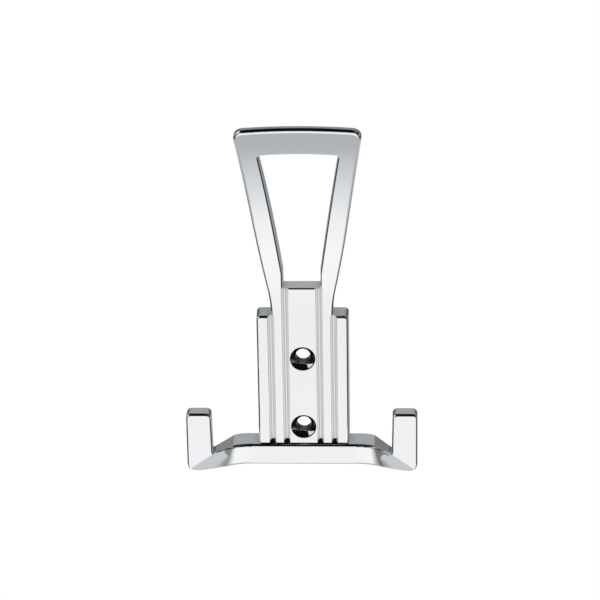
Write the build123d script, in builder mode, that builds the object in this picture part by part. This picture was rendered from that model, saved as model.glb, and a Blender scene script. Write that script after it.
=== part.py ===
from build123d import *
from math import radians, tan
import os

os.makedirs("parts", exist_ok=True)

# Wall hook, cast in one piece: a ribbed back plate with two screw holes, a tall
# loop that rises from it and leans away from the wall, and a cross bar at its
# foot whose two arms sweep outwards and forwards into short upright hooks.
# Millimetres. X runs to the right, Y into the wall and Z up. The origin lies on
# the wall, midway between the two screw holes.

# Back plate
plate_depth = 8.0
plate_width = 31.0
plate_draft = 0.25
strip_top = 28.0
strip_corner = 1.5
edge_round = 0.9

# Grooves that part the front of the plate into five strips
centre_strip = 9.2
leg_strip = 2.6
groove_width = 2.2
groove_floor = 0.4
groove_depth = 1.1
groove_foot = -18.6
groove_ramp = 1.3
groove_lip = 0.3
groove_proud = 0.5

# Relief in the back, which leaves a rail on each side to touch the wall
relief_depth = 1.6
relief_width = 18.4
relief_foot = -22.5

# Screw holes
hole_spacing = 25.0
hole_radius = 2.5
head_radius = 4.3
head_recess = 1.0
sink_depth = 1.9

# Loop
neck_half = 10.4
loop_top = 99.5
loop_reach = 25.0
loop_top_depth = 3.7
loop_bend_foot = 30.0
back_bend_foot = 36.0
web_top = 38.1
flare_radius = 45.0
flare_angle = 12.0
easing_radius = 360.0
leg_angle = 8.2
loop_arch = 1.1
loop_corner = 3.3
loop_edge = 1.1
loop_back_bevel = 0.5

# Opening of the loop. Its draft widens it forwards: the lower sizes hold at the
# face of the plate and the upper ones where the loop reaches furthest.
opening_half = 6.4
opening_step = 43.2
opening_top_half = 13.3
opening_top = 89.5
opening_arch = 0.7
opening_corner = 1.0
opening_draft = 2.0
opening_bevel = 0.4

# Cross bar, which bows forwards beyond its straight middle, and the flat arms
# that leave it at a slanting crease
bar_depth = 9.2
bar_top = -18.7
bar_bottom = -26.2
bar_straight = 17.0
bow_half = 20.8
bow_reach = 9.6
bow_lean = 1.0
bow_depth = 9.5
crease_half = 24.0
crease_reach = 10.8
crease_lean = 3.4
crease_advance = 1.4
crease_depth = 9.4
arm_edge = 0.9

# Hooks
hook_reach = 24.0
hook_thick = 5.9
hook_inner = 29.9
hook_outer = 38.5
hook_top = -0.6
hook_foot = -22.4
throat_floor = -15.3
mitre_foot = -21.4
hook_taper = 0.3
elbow_flat = 3.1
valley_round = 1.8
tip_round = 1.6

# How far the sections of the arm run past its outline, as a share of their height
spare = 0.3

plate_half = plate_width / 2
front_half = plate_half - plate_draft
bar_height = bar_top - bar_bottom
elbow_round = hook_outer - hook_inner - elbow_flat
draft_spread = (loop_reach - plate_depth) * tan(radians(opening_draft))
front_to_wall = Plane(origin=(0, -loop_reach, 0), x_dir=(-1, 0, 0), z_dir=(0, 1, 0))


def point(x, reach, z):
    """A point from how far it lies to the right, out from the wall, and up."""
    return Vector(x, -reach, z)


def at_height(sketch, height):
    """The corners of an outline that lie at a given height."""
    return sketch.vertices().filter_by(lambda corner: abs(corner.Y - height) < 0.01)


def corners_beside_middle(sketch, half):
    """The corners of an outline that lie at a given distance from its middle line."""
    return sketch.vertices().filter_by(lambda corner: abs(abs(corner.X) - half) < 0.01)


def faces_to_front(part):
    """The faces of a part that look away from the wall."""
    return part.faces().filter_by(lambda face: face.normal_at().Y < -0.2)


def faces_to_wall(part):
    """The faces of a part that look to the wall but stand clear of it."""
    return part.faces().filter_by(lambda face: face.normal_at().Y > 0.2 and face.center().Y < -1)


def faces_round(part):
    """The faces that an outline leaves round a part, which run straight towards the wall."""
    return part.faces().filter_by(lambda face: abs(face.normal_at().Y) < 0.01)


def inner_rims(faces):
    """The edges round the openings in some faces."""
    return [edge for face in faces for wire in face.inner_wires() for edge in wire.edges()]


def slanted_section(front_top, drop, depth):
    """A face down the front of the bar, as deep as given, that runs past both of its ends."""
    top = front_top - drop * spare
    foot = front_top + drop * (1 + spare)
    back = Vector(0, depth, 0)
    return make_face(Polyline(top, foot, foot + back, top + back, close=True))


# Back plate, from the foot of the bar to the top of the outer strips
with BuildPart() as back_plate:
    with BuildSketch(Plane.XY.offset(bar_bottom)):
        with BuildLine():
            Polyline(
                (-plate_half, 0),
                (-front_half, -plate_depth),
                (front_half, -plate_depth),
                (plate_half, 0),
                close=True,
            )
        make_face()
    extrude(amount=strip_top - bar_bottom)
    strip_ends = back_plate.faces().sort_by(Axis.Z)[-1]
    fillet(strip_ends.edges().filter_by(Axis.X, reverse=True), strip_corner)
    front_face = back_plate.faces().sort_by(Axis.Y)[0]
    fillet(front_face.edges(), edge_round)

# Loop, the outline seen from the front cut out of a bowed slab
with BuildPart() as hat_loop:
    with BuildSketch(Plane.YZ):
        with BuildLine():
            front_foot = Line((-plate_depth, 0), (-plate_depth, loop_bend_foot))
            front_bow = TangentArc(front_foot @ 1, (-loop_reach, loop_top), tangent=(0, 1))
            top = Line(front_bow @ 1, (loop_top_depth - loop_reach, loop_top))
            back_bow = TangentArc((-relief_depth, back_bend_foot), top @ 1, tangent=(0, 1))
            back_foot = Line(back_bow @ 0, (-relief_depth, 0))
            Line(back_foot @ 1, front_foot @ 0)
        make_face()
    extrude(amount=plate_width, both=True)
    with BuildSketch(Plane.XZ) as loop_outline:
        with BuildLine():
            neck = Line((neck_half, 0), (neck_half, strip_top))
            flare = JernArc(neck @ 1, (0, 1), flare_radius, -flare_angle)
            easing = JernArc(flare @ 1, flare % 1, easing_radius, flare_angle - leg_angle)
            shoulder = loop_top - loop_arch - (easing @ 1).Y
            leg = PolarLine(easing @ 1, shoulder, direction=easing % 1, length_mode=LengthMode.VERTICAL)
            mirror(about=Plane.YZ)
            corner = leg @ 1
            ThreePointArc(corner, (0, loop_top), (-corner.X, corner.Y))
            Line((-neck_half, 0), (neck_half, 0))
        make_face()
        fillet(loop_outline.vertices().sort_by(Axis.Y)[-2:], loop_corner)
    extrude(amount=loop_reach, mode=Mode.INTERSECT)
    with BuildSketch(front_to_wall) as loop_opening:
        with BuildLine():
            foot_half = opening_half + draft_spread
            foot = Line((-foot_half, web_top - draft_spread), (foot_half, web_top - draft_spread))
            step = Line(foot @ 1, (foot_half, opening_step))
            side = Line(step @ 1, (opening_top_half, opening_top - opening_arch))
            arch_end = (-opening_top_half, opening_top - opening_arch)
            arch = ThreePointArc(side @ 1, (0, opening_top), arch_end)
            other_side = Line(arch @ 1, (-foot_half, opening_step))
            Line(other_side @ 1, foot @ 0)
        make_face()
        fillet(loop_opening.vertices().sort_by(Axis.Y)[-2:], opening_corner)
    extrude(amount=loop_reach, taper=opening_draft, mode=Mode.SUBTRACT)
    outer_walls = faces_round(hat_loop).filter_by(lambda face: face.center().Z > strip_top / 2)
    fillet(faces_to_front(hat_loop).edges() & outer_walls.edges(), loop_edge)
    outer_walls = faces_round(hat_loop).filter_by(lambda face: face.center().Z > strip_top / 2)
    chamfer(faces_to_wall(hat_loop).edges() & outer_walls.edges(), loop_back_bevel)
    chamfer(inner_rims(faces_to_front(hat_loop)), opening_bevel)
    chamfer(inner_rims(faces_to_wall(hat_loop)), opening_bevel)

# Half of the cross bar, with the arm that leaves it and the hook at its end.
# The sections are where the bar starts to bow, half way round the bow, at the
# crease where the flat arm begins and at the mitre where it meets the hook.
# They run past the outline above and below, which then trims them.
straight_end = slanted_section(point(bar_straight, bar_depth, bar_top), Vector(0, 0, -bar_height), bar_depth)
bow_drop = Vector(bow_lean, 0, -bar_height)
bow_middle = slanted_section(point(bow_half, bow_reach, bar_top), bow_drop, bow_depth)
crease_drop = Vector(crease_lean, -crease_advance, -bar_height)
crease = slanted_section(point(crease_half, crease_reach, bar_top), crease_drop, crease_depth)
mitre_drop = Vector(hook_outer - hook_inner, 0, mitre_foot - throat_floor)
mitre_top = point(hook_inner, hook_reach, throat_floor)
mitre = slanted_section(mitre_top, mitre_drop, hook_thick)

with BuildPart() as half_bar:
    with BuildSketch(Plane.YZ):
        with Locations((-bar_depth / 2, bar_top - bar_height / 2)):
            Rectangle(bar_depth, bar_height * (1 + 2 * spare))
    extrude(amount=bar_straight)
    loft(sections=[straight_end, bow_middle, crease])
    loft(sections=[crease, mitre], ruled=True)
    with BuildSketch(Plane.XZ.offset(hook_reach - hook_thick)):
        with BuildLine():
            block_inner = mitre_top - mitre_drop * spare
            block_outer = mitre_top + mitre_drop * (1 + spare)
            Polyline(
                (block_inner.X, block_inner.Z),
                (block_inner.X, 0),
                (block_outer.X, 0),
                (block_outer.X, block_outer.Z),
                close=True,
            )
        make_face()
    extrude(amount=hook_thick)
    with BuildSketch(Plane.XZ) as bar_outline:
        with BuildLine():
            Polyline(
                (0, bar_top),
                (crease_half, bar_top),
                (hook_inner, throat_floor),
                (hook_inner + hook_taper, hook_top),
                (hook_outer, hook_top),
                (hook_outer, hook_foot),
                (crease_half + crease_lean, bar_bottom),
                (0, bar_bottom),
                close=True,
            )
        make_face()
        fillet(at_height(bar_outline, hook_top), tip_round)
        fillet(at_height(bar_outline, throat_floor), valley_round)
        fillet(at_height(bar_outline, hook_foot), elbow_round)
    extrude(amount=hook_reach, mode=Mode.INTERSECT)
    outline_faces = faces_round(half_bar).filter_by(lambda face: face.center().X > bar_straight / 4)
    fillet(faces_to_front(half_bar).edges() & outline_faces.edges(), arm_edge)
    outline_faces = faces_round(half_bar).filter_by(lambda face: face.center().X > bar_straight / 4)
    hook_back = faces_to_wall(half_bar).sort_by(Axis.Z)[-1]
    fillet(hook_back.edges() & outline_faces.edges(), arm_edge)


def groove_cutter(groove_top):
    """A cutter for one groove of the plate, from the foot of the grooves to a given height."""
    with BuildPart() as groove:
        with BuildSketch(Plane.XY.offset(groove_foot)) as groove_section:
            face_half = groove_width / 2 + groove_lip
            with BuildLine():
                Polyline(
                    (-face_half, -plate_depth - groove_proud),
                    (-face_half, -plate_depth),
                    (-groove_width / 2, -plate_depth),
                    (-groove_floor / 2, groove_depth - plate_depth),
                    (groove_floor / 2, groove_depth - plate_depth),
                    (groove_width / 2, -plate_depth),
                    (face_half, -plate_depth),
                    (face_half, -plate_depth - groove_proud),
                    close=True,
                )
            make_face()
            fillet(corners_beside_middle(groove_section, groove_width / 2), groove_lip)
        extrude(amount=groove_top - groove_foot)
        ramp_face = (0, -groove_ramp, groove_depth)
        ramp = Plane(origin=(0, -plate_depth, groove_foot), x_dir=(1, 0, 0), z_dir=ramp_face)
        split(bisect_by=ramp, keep=Keep.TOP)
    return groove.part


# Cutters for the grooves. Their lips round over to the face of the plate, and their
# feet are ramps that rise to it. The inner ones run up to the opening of the loop
# and the outer ones end with the outer strips.
inner_groove = groove_cutter(web_top)
outer_groove = groove_cutter(strip_top)

# Cutter for one screw hole: bore, cone and a short straight recess for the head
with BuildPart() as screw_hole:
    with BuildSketch(Plane.XY):
        with BuildLine():
            cone_front = head_recess - plate_depth
            cone_back = cone_front + sink_depth
            Polyline(
                (0, -plate_depth),
                (head_radius, -plate_depth),
                (head_radius, cone_front),
                (hole_radius, cone_back),
                (hole_radius, 0),
                (0, 0),
                close=True,
            )
        make_face()
    revolve(axis=Axis.Y)

# The casting: plate, loop and both arms in one, then grooves, relief and holes
with BuildPart() as hook_casting:
    add(back_plate.part)
    add(hat_loop.part)
    add(half_bar.part)
    mirror(half_bar.part, about=Plane.YZ)
    for side in (-1, 1):
        with Locations((side * (centre_strip + groove_width) / 2, 0, 0)):
            add(inner_groove, mode=Mode.SUBTRACT)
        outer_middle = centre_strip / 2 + groove_width + leg_strip + groove_width / 2
        with Locations((side * outer_middle, 0, 0)):
            add(outer_groove, mode=Mode.SUBTRACT)
    relief_height = loop_top - relief_foot
    with BuildSketch(Plane.XZ):
        with Locations((0, relief_foot + relief_height / 2)):
            Rectangle(relief_width, relief_height)
    extrude(amount=relief_depth, mode=Mode.SUBTRACT)
    for height in (-hole_spacing / 2, hole_spacing / 2):
        with Locations((0, 0, height)):
            add(screw_hole.part, mode=Mode.SUBTRACT)

hook_casting.part.label = "hook_casting"
export_step(hook_casting.part, "parts/hook_casting.step")
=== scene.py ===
from math import cos, radians, sin

import bpy
from mathutils import Matrix, Vector


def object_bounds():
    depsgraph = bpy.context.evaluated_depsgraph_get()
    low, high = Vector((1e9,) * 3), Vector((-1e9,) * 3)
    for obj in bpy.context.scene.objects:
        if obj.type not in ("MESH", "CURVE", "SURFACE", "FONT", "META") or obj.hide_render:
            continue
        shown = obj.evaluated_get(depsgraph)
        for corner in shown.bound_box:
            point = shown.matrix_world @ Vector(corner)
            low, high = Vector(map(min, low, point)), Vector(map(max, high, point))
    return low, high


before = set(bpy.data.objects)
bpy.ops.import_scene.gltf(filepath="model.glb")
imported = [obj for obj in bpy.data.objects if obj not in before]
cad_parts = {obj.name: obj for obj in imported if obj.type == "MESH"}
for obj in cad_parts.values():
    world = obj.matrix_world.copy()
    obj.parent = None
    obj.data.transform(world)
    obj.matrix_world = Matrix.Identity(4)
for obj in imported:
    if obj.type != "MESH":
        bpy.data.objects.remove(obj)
cad_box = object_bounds()

# Camera: the view of the photograph, a little to the right of the middle and above
camera_azimuth = radians(2.55)
camera_elevation = radians(22.35)
camera_roll = radians(0.94)
camera_distance = 0.912
camera_target = Vector((-0.00055, -0.008, 0.03389))
focal_length_px = 2744
image_width_px = 600
sensor_width_mm = 36

# White floor, far enough below the hook that only soft light comes back from it
floor_drop = 0.30
floor_half_width = 6.0

# Soft lamp, high on the left
softbox_place = Vector((-1.7, -0.45, 1.1))
softbox_width = 1.5
softbox_power = 2.0

# Share of the light that bright chrome gives back in the open, and the lower share
# painted deep in recesses, which is painted shade
chrome_shine = 0.94
recess_painted_shade = 0.5

# How near a wall must stand to shelter a place, and the shares of open sky round a place
# at which the painted shade is darkest and at which the chrome is at full shine
shelter_reach = 0.004
shelter_samples = 16
most_sheltered = 0.25
least_sheltered = 0.85

# Waves left in the polished casting and fine wipe marks, with noise scales per metre
wave_scale = 90
wave_strength = 0.03
wave_height = 0.001
wipe_scale = 900
polished_roughness = (0.035, 0.085)

# Screw holes, whose bores and recess walls get painted shade, nearly black
hole_half_spacing = 0.0125
bore_radius = 0.0025
recess_radius = 0.0043
plate_face = -0.008
recess_floor = -0.0068
hole_margin = 0.00008
bore_painted_shade = 0.12

# Flat back of the plate and bar, plated over the raw casting
back_depth = -0.0026
back_facing = (0.85, 0.98)
back_top = 0.040
back_grain_top = 0.031
back_fade = 0.006
back_shine = 0.78
cast_roughness = (0.30, 0.38)
grain_scale = 2600
grain_strength = 0.25
grain_height = 0.0002

# What the chrome mirrors, as the grey levels that show in it, by the angle of a direction
# about the X axis: 0 faces the front, 90 is straight up, 180 the back and -90 straight
# down. A white floor lies below, the room in front and overhead is dark, and a pale sheet
# stands at the back.
STUDIO = [
    (-180, 55),
    (-168, 110),
    (-158, 158),
    (-145, 190),
    (-125, 201),
    (-105, 198),
    (-80, 172),
    (-68, 180),
    (-58, 212),
    (-47, 239),
    (-38, 247),
    (-30, 245),
    (-24, 239),
    (-10, 236),
    (-3, 228),
    (2, 180),
    (8, 80),
    (14, 20),
    (30, 8),
    (60, 6),
    (102, 10),
    (121, 60),
    (135, 127),
    (150, 172),
    (155, 162),
    (158, 150),
    (162, 132),
    (168, 118),
    (180, 50),
]

# Sides of the studio, each with its level and with where it begins and is full, as a
# share of a direction's length. Below the horizon a dark flag stands on each side before
# a pale wall, which draws the upright edges.
flag_level = 60
flag_zone = (0.56, 0.84)
side_wall_level = 185
side_wall_zone = (0.93, 0.99)
horizon_zone = (-0.08, 0.08)

# Above the horizon the sides are dark, with a grey wall in front, a window on the left
# and a grey wall at the back.
upper_side_level = 8
upper_side_zone = (0.4, 0.62)
front_wall_level = 110
front_wall_zone = (-0.4, -0.6)
window_level = 165
window_zone = (-0.5, -0.7)
back_wall_level = 135
back_wall_zone = (0.1, 0.6)

# Share of blue that the mid greys of the studio gain and of red that they lose
blue_tint = 0.2


def linear(level):
    """The linear light of a grey level from 0 to 255."""
    share = level / 255
    if share <= 0.04045:
        return share / 12.92
    return ((share + 0.055) / 1.055) ** 2.4


def studio_grey(level):
    """The light that shows in the chrome as a grey level, a little blue in the mid greys."""
    light = linear(level) / chrome_shine
    blue = blue_tint * light**2 * (1 - light)
    return (light - blue, light, light + blue, 1)


def grey(share):
    """A neutral colour that gives back a share of the light."""
    return (share, share, share, 1)


def add_node(tree, kind, inputs=None, **settings):
    """A node with its settings, and its inputs set to values or joined to outputs."""
    node = tree.nodes.new(kind)
    for name, value in settings.items():
        setattr(node, name, value)
    for key, value in (inputs or {}).items():
        if isinstance(value, bpy.types.NodeSocket):
            tree.links.new(value, node.inputs[key])
        else:
            node.inputs[key].default_value = value
    return node


def ramp(tree, value, stops):
    """A colour ramp with its stops given as (place, colour)."""
    node = add_node(tree, "ShaderNodeValToRGB", {0: value})
    elements = node.color_ramp.elements
    while len(elements) < len(stops):
        elements.new(0.5)
    for element, (place, colour) in zip(elements, stops):
        element.position = place
        element.color = colour
    return node.outputs["Color"]


def maths(tree, operation, *values):
    """The result of a maths node."""
    inputs = dict(enumerate(values))
    return add_node(tree, "ShaderNodeMath", inputs, operation=operation).outputs[0]


def share_of(tree, value, start, end):
    """A value's way from start to end, from 0 to 1."""
    inputs = {"Value": value, "From Min": start, "From Max": end}
    node = add_node(tree, "ShaderNodeMapRange", inputs, interpolation_type="SMOOTHSTEP")
    return node.outputs["Result"]


def blend(tree, share, first, second):
    """The first colour where the share is 0 and the second where it is 1."""
    inputs = {"Factor": share, "A": first, "B": second}
    return add_node(tree, "ShaderNodeMix", inputs, data_type="RGBA").outputs["Result"]


def blend_numbers(tree, share, first, second):
    """The first number where the share is 0 and the second where it is 1."""
    inputs = {"Factor": share, "A": first, "B": second}
    return add_node(tree, "ShaderNodeMix", inputs, data_type="FLOAT").outputs["Result"]


def noise(tree, place, scale, detail):
    """Cloudy noise over the surface, which stays mostly between 0.3 and 0.7."""
    inputs = {"Vector": place, "Scale": scale, "Detail": detail}
    return add_node(tree, "ShaderNodeTexNoise", inputs).outputs["Fac"]


def roughness_from(tree, cloud, lowest, highest):
    """The usual range of a noise spread over a range of roughness."""
    inputs = {
        "Value": cloud,
        "From Min": 0.3,
        "From Max": 0.7,
        "To Min": lowest,
        "To Max": highest,
    }
    return add_node(tree, "ShaderNodeMapRange", inputs).outputs["Result"]


def make_camera():
    """The camera of the photograph, placed round its target and rolled a little."""
    view = Vector((
        sin(camera_azimuth) * cos(camera_elevation),
        -cos(camera_azimuth) * cos(camera_elevation),
        sin(camera_elevation),
    ))
    right = Vector((cos(camera_azimuth), sin(camera_azimuth), 0))
    up = view.cross(right)
    image_right = right * cos(camera_roll) - up * sin(camera_roll)
    image_up = right * sin(camera_roll) + up * cos(camera_roll)
    data = bpy.data.cameras.new("camera")
    data.sensor_width = sensor_width_mm
    data.lens = focal_length_px / image_width_px * sensor_width_mm
    camera = bpy.data.objects.new("camera", data)
    bpy.context.scene.collection.objects.link(camera)
    place = Matrix((image_right, image_up, view)).transposed().to_4x4()
    place.translation = camera_target + view * camera_distance
    camera.matrix_world = place
    bpy.context.scene.camera = camera


def studio_round_x(tree, parts):
    """The studio straight ahead, overhead, behind and below, by the angle about the X axis."""
    forwards = maths(tree, "MULTIPLY", parts["Y"], -1)
    angle = maths(tree, "ARCTAN2", parts["Z"], forwards)
    turn = maths(tree, "ADD", maths(tree, "DIVIDE", angle, radians(360)), 0.5)
    stops = [((degrees + 180) / 360, studio_grey(level)) for degrees, level in STUDIO]
    return ramp(tree, turn, stops)


def studio_colour(tree):
    """The studio with its sides, below and above the horizon."""
    direction = add_node(tree, "ShaderNodeTexCoord").outputs["Generated"]
    parts = add_node(tree, "ShaderNodeSeparateXYZ", {0: direction}).outputs
    round_x = studio_round_x(tree, parts)
    sideways = maths(tree, "ABSOLUTE", parts["X"])

    flag = share_of(tree, sideways, *flag_zone)
    side_wall = share_of(tree, sideways, *side_wall_zone)
    flagged = blend(tree, flag, round_x, studio_grey(flag_level))
    below = blend(tree, side_wall, flagged, studio_grey(side_wall_level))

    front_wall = share_of(tree, parts["Y"], *front_wall_zone)
    window = share_of(tree, parts["X"], *window_zone)
    back_wall = share_of(tree, parts["Y"], *back_wall_zone)
    upper_side = share_of(tree, sideways, *upper_side_zone)
    walled = blend(tree, front_wall, studio_grey(upper_side_level), studio_grey(front_wall_level))
    with_window = blend(tree, window, walled, studio_grey(window_level))
    side = blend(tree, back_wall, with_window, studio_grey(back_wall_level))
    above = blend(tree, upper_side, round_x, side)

    return blend(tree, share_of(tree, parts["Z"], *horizon_zone), below, above)


def make_world():
    """White for the camera and for soft light, and the studio for reflections."""
    world = bpy.data.worlds.new("studio")
    bpy.context.scene.world = world
    world.use_nodes = True
    tree = world.node_tree
    tree.nodes.clear()
    mirrored = add_node(tree, "ShaderNodeBackground", {"Color": studio_colour(tree)})
    seen = add_node(tree, "ShaderNodeBackground", {"Color": grey(1)})
    rays = add_node(tree, "ShaderNodeLightPath").outputs
    inputs = {0: rays["Is Glossy Ray"], 1: seen.outputs[0], 2: mirrored.outputs[0]}
    shown = add_node(tree, "ShaderNodeMixShader", inputs)
    add_node(tree, "ShaderNodeOutputWorld", {"Surface": shown.outputs[0]})


def make_floor():
    """A matt white floor, lit white by the room, which the chrome sees as part of the studio."""
    mesh = bpy.data.meshes.new("floor")
    half = floor_half_width
    height = cad_box[0][2] - floor_drop
    corners = [(-half, -half, height), (half, -half, height), (half, half, height), (-half, half, height)]
    mesh.from_pydata(corners, [], [(0, 1, 2, 3)])
    floor = bpy.data.objects.new("floor", mesh)
    bpy.context.scene.collection.objects.link(floor)
    floor.visible_glossy = False
    material = bpy.data.materials.new("floor")
    material.use_nodes = True
    tree = material.node_tree
    tree.nodes.clear()
    matt = add_node(tree, "ShaderNodeBsdfDiffuse", {"Color": grey(1)})
    add_node(tree, "ShaderNodeOutputMaterial", {"Surface": matt.outputs[0]})
    mesh.materials.append(material)


def make_softbox():
    """A large soft lamp high on the left, which shows in the lower right of the screw recesses."""
    data = bpy.data.lights.new("softbox", "AREA")
    data.shape = "DISK"
    data.size = softbox_width
    data.energy = softbox_power
    softbox = bpy.data.objects.new("softbox", data)
    bpy.context.scene.collection.objects.link(softbox)
    softbox.location = softbox_place
    softbox.rotation_euler = softbox_place.to_track_quat("Z", "Y").to_euler()


def bore_share(tree, parts):
    """1 inside the bores and on the short walls of the screw recesses, where painted shade goes, and 0
    elsewhere.
    """
    height = maths(tree, "SUBTRACT", maths(tree, "ABSOLUTE", parts["Z"]), hole_half_spacing)
    squares = maths(tree, "ADD", maths(tree, "POWER", parts["X"], 2), maths(tree, "POWER", height, 2))
    radius = maths(tree, "SQRT", squares)
    bore = maths(tree, "LESS_THAN", radius, bore_radius + hole_margin)
    from_wall = maths(tree, "ABSOLUTE", maths(tree, "SUBTRACT", radius, recess_radius))
    recess = maths(tree, "LESS_THAN", from_wall, hole_margin)
    in_front = maths(tree, "LESS_THAN", parts["Y"], recess_floor)
    behind_face = maths(tree, "GREATER_THAN", parts["Y"], plate_face + hole_margin)
    walls = maths(tree, "MAXIMUM", bore, maths(tree, "MULTIPLY", recess, in_front))
    return maths(tree, "MULTIPLY", walls, behind_face)


def back_share(tree, parts, top):
    """1 on the flat back of the plate and the bar, fading out towards a top height."""
    normal = add_node(tree, "ShaderNodeNewGeometry").outputs["Normal"]
    backwards = add_node(tree, "ShaderNodeSeparateXYZ", {0: normal}).outputs["Y"]
    facing_wall = share_of(tree, backwards, *back_facing)
    near_wall = maths(tree, "GREATER_THAN", parts["Y"], back_depth)
    low = share_of(tree, parts["Z"], top, top - back_fade)
    return maths(tree, "MULTIPLY", maths(tree, "MULTIPLY", facing_wall, near_wall), low)


def make_chrome():
    """Bright chrome plating, with painted shade in sheltered corners and in the bores, and dull on the
    cast back.
    """
    material = bpy.data.materials.new("chrome")
    material.use_nodes = True
    tree = material.node_tree
    shader = tree.nodes["Principled BSDF"]
    shader.inputs["Metallic"].default_value = 1
    place = add_node(tree, "ShaderNodeTexCoord").outputs["Object"]
    parts = add_node(tree, "ShaderNodeSeparateXYZ", {0: place}).outputs
    back = back_share(tree, parts, back_top)

    # Painted shade: the base colour darkens where nearby walls shelter a place
    shelter_inputs = {"Distance": shelter_reach}
    shelter = add_node(tree, "ShaderNodeAmbientOcclusion", shelter_inputs, samples=shelter_samples)
    shelter_stops = [(most_sheltered, grey(recess_painted_shade)), (least_sheltered, grey(chrome_shine))]
    painted_shelter_shade = ramp(tree, shelter.outputs["AO"], shelter_stops)
    # Painted shade: the bores and recess walls are darkened nearly to black
    with_bores = blend(tree, bore_share(tree, parts), painted_shelter_shade, grey(bore_painted_shade))
    colour = blend(tree, back, with_bores, grey(back_shine))
    tree.links.new(colour, shader.inputs["Base Color"])

    waves = noise(tree, place, wave_scale, 2)
    wipes = noise(tree, place, wipe_scale, 4)
    polished = roughness_from(tree, wipes, *polished_roughness)
    cast = roughness_from(tree, waves, *cast_roughness)
    roughness = blend_numbers(tree, back, polished, cast)
    tree.links.new(roughness, shader.inputs["Roughness"])

    wavy = add_node(tree, "ShaderNodeBump", {
        "Height": waves,
        "Strength": wave_strength,
        "Distance": wave_height,
    })
    grain = noise(tree, place, grain_scale, 5)
    grainy = add_node(tree, "ShaderNodeBump", {
        "Height": maths(tree, "MULTIPLY", grain, back_share(tree, parts, back_grain_top)),
        "Strength": grain_strength,
        "Distance": grain_height,
        "Normal": wavy.outputs["Normal"],
    })
    tree.links.new(grainy.outputs["Normal"], shader.inputs["Normal"])
    return material


def plate_casting():
    """Puts the chrome on the casting."""
    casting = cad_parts["hook_casting"]
    casting.data.materials.clear()
    casting.data.materials.append(make_chrome())


make_camera()
make_world()
make_floor()
make_softbox()
plate_casting()

bpy.context.scene.view_settings.view_transform = "Standard"
